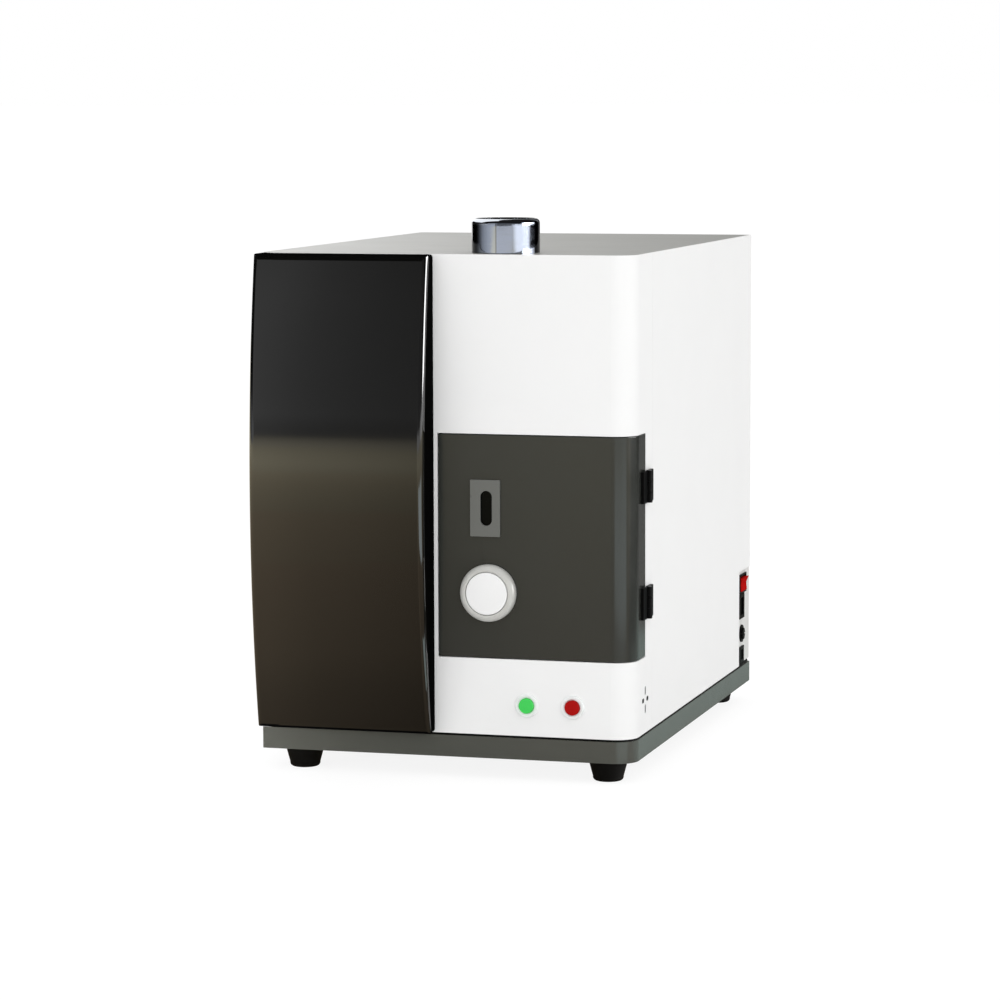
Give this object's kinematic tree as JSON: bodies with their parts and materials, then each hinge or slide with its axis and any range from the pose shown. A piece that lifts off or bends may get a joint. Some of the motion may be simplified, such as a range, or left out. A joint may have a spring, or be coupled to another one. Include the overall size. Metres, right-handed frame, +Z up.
{
  "type": "oil emission spectrometer",
  "caption": "Bench oil emission spectrometer: white cabinet with a bowed black front panel, hinged corner door, push buttons, exhaust stack and a rotating-disc spark stand inside.",
  "frame": {"origin": "on the floor under the middle of the bounding box", "axes": "+Z up, the front faces -Y, +X to the right of someone facing the front"},
  "size_m": [0.5092, 0.771, 0.72],
  "materials": {
    "white_paint": "satin powder coat",
    "top_grey": "satin powder coat",
    "base_grey": "fine textured coat",
    "door_grey": "fine textured coat",
    "plate_grey": "satin",
    "black_gloss": "polished",
    "black_rubber": "matt",
    "black_plastic": "fine texture",
    "chrome": "polished",
    "white_plastic": "gloss",
    "polished_steel": "polished",
    "steel": "brushed",
    "zinc_sheet": "galvanised",
    "module_case": "satin",
    "bezel_silver": "satin",
    "green_lens": "gloss",
    "red_lens": "gloss",
    "red_rocker": "gloss",
    "filter_glass": "dark filter glass",
    "clear_glass": "clear",
    "graphite": "matt graphite",
    "insulator": "matt",
    "brass": "satin",
    "cast_aluminium": "as cast",
    "grating_mirror": "ruled mirror",
    "motor_black": "satin",
    "circuit_green": "solder resist",
    "panel_grey": "satin"
  },
  "bodies": {
    "cabinet": {"front_frame": "white_paint", "left_side_panel": "white_paint", "right_side_panel": "white_paint", "rear_panel": "white_paint", "door_surround": "white_paint", "top_panel": "top_grey", "base_tray": "base_grey", "bow_panel": "black_gloss", "rubber_feet": "black_rubber", "base_seal": "black_rubber", "door_seal": "black_rubber", "frame_hinge_leaves": "black_plastic", "sounder": "black_plastic", "exhaust_fan_frame": "black_plastic", "cooling_fan_frame": "black_plastic", "switch_frame": "black_plastic", "mains_inlet": "black_plastic", "fuse_holder": "black_plastic", "data_port": "black_plastic", "light_tube": "black_plastic", "exhaust_stack": "polished_steel", "hinge_pins": "steel", "chamber_liner": "steel", "panel_screws": "steel", "fan_guard": "steel", "exhaust_duct": "steel", "bulkhead": "zinc_sheet", "power_supply": "module_case", "spark_source": "module_case", "button_bodies": "bezel_silver", "lens": "clear_glass", "rod_electrode": "graphite", "electrode_stand": "insulator", "rod_clamp": "brass", "optics_housing": "cast_aluminium", "optics_lid": "cast_aluminium", "concave_grating": "grating_mirror", "drive_motor": "motor_black", "control_board": "circuit_green", "detector_boards": "circuit_green", "io_panel": "panel_grey"},
    "door": {"door_skin": "door_grey", "door_liner": "steel", "sight_plate": "plate_grey", "sight_glass": "filter_glass", "door_hinge_leaves": "black_plastic"},
    "knob": {"latch_knob": "chrome", "knob_cap": "white_plastic", "latch_arm": "steel"},
    "start_button": {"start_button": "green_lens"},
    "stop_button": {"stop_button": "red_lens"},
    "rocker": {"mains_rocker": "red_rocker"},
    "table": {"sample_table": "steel", "oil_cup": "insulator"},
    "disc": {"disc_shaft": "steel", "disc_electrode": "graphite"},
    "clamp_screw": {"clamp_screw": "steel"},
    "exhaust_fan": {"exhaust_fan_rotor": "black_plastic"},
    "cooling_fan": {"cooling_fan_rotor": "black_plastic"}
  },
  "joints": [
    {"name": "door_swing", "type": "hinge", "parent": "cabinet", "child": "door", "pos_m": [0.25015, -0.273, 0.303], "axis": [0, 0, 1], "range_deg": [0, 120]},
    {"name": "knob_turn", "type": "hinge", "parent": "door", "child": "knob", "pos_m": [0.05475, -0.3375, 0.2425], "axis": [0, 1, 0], "range_deg": [0, 90]},
    {"name": "start_press", "type": "slide", "parent": "cabinet", "child": "start_button", "axis": [0, 1, 0], "range_m": [0, 0.0035], "stiffness_N_per_m": 800, "springref_m": -0.002},
    {"name": "stop_press", "type": "slide", "parent": "cabinet", "child": "stop_button", "axis": [0, 1, 0], "range_m": [0, 0.0035], "stiffness_N_per_m": 800, "springref_m": -0.002},
    {"name": "rocker_tip", "type": "hinge", "parent": "cabinet", "child": "rocker", "pos_m": [0.24235, 0.3325, 0.1755], "axis": [0, -1, 0], "range_deg": [0, 16]},
    {"name": "table_lift", "type": "slide", "parent": "cabinet", "child": "table", "axis": [0, 0, 1], "range_m": [0, 0.014]},
    {"name": "disc_spin", "type": "hinge", "parent": "cabinet", "child": "disc", "pos_m": [0.05035, -0.2385, 0.34375], "axis": [0, 1, 0], "continuous": true},
    {"name": "clamp_turn", "type": "hinge", "parent": "cabinet", "child": "clamp_screw", "pos_m": [0.05035, -0.2525, 0.391], "axis": [0, 1, 0], "range_deg": [-180, 180]},
    {"name": "exhaust_fan_spin", "type": "hinge", "parent": "cabinet", "child": "exhaust_fan", "pos_m": [0.06035, -0.2735, 0.659], "axis": [0, 0, 1], "continuous": true},
    {"name": "cooling_fan_spin", "type": "hinge", "parent": "cabinet", "child": "cooling_fan", "pos_m": [-0.12965, 0.3675, 0.368], "axis": [0, 1, 0], "continuous": true}
  ]
}
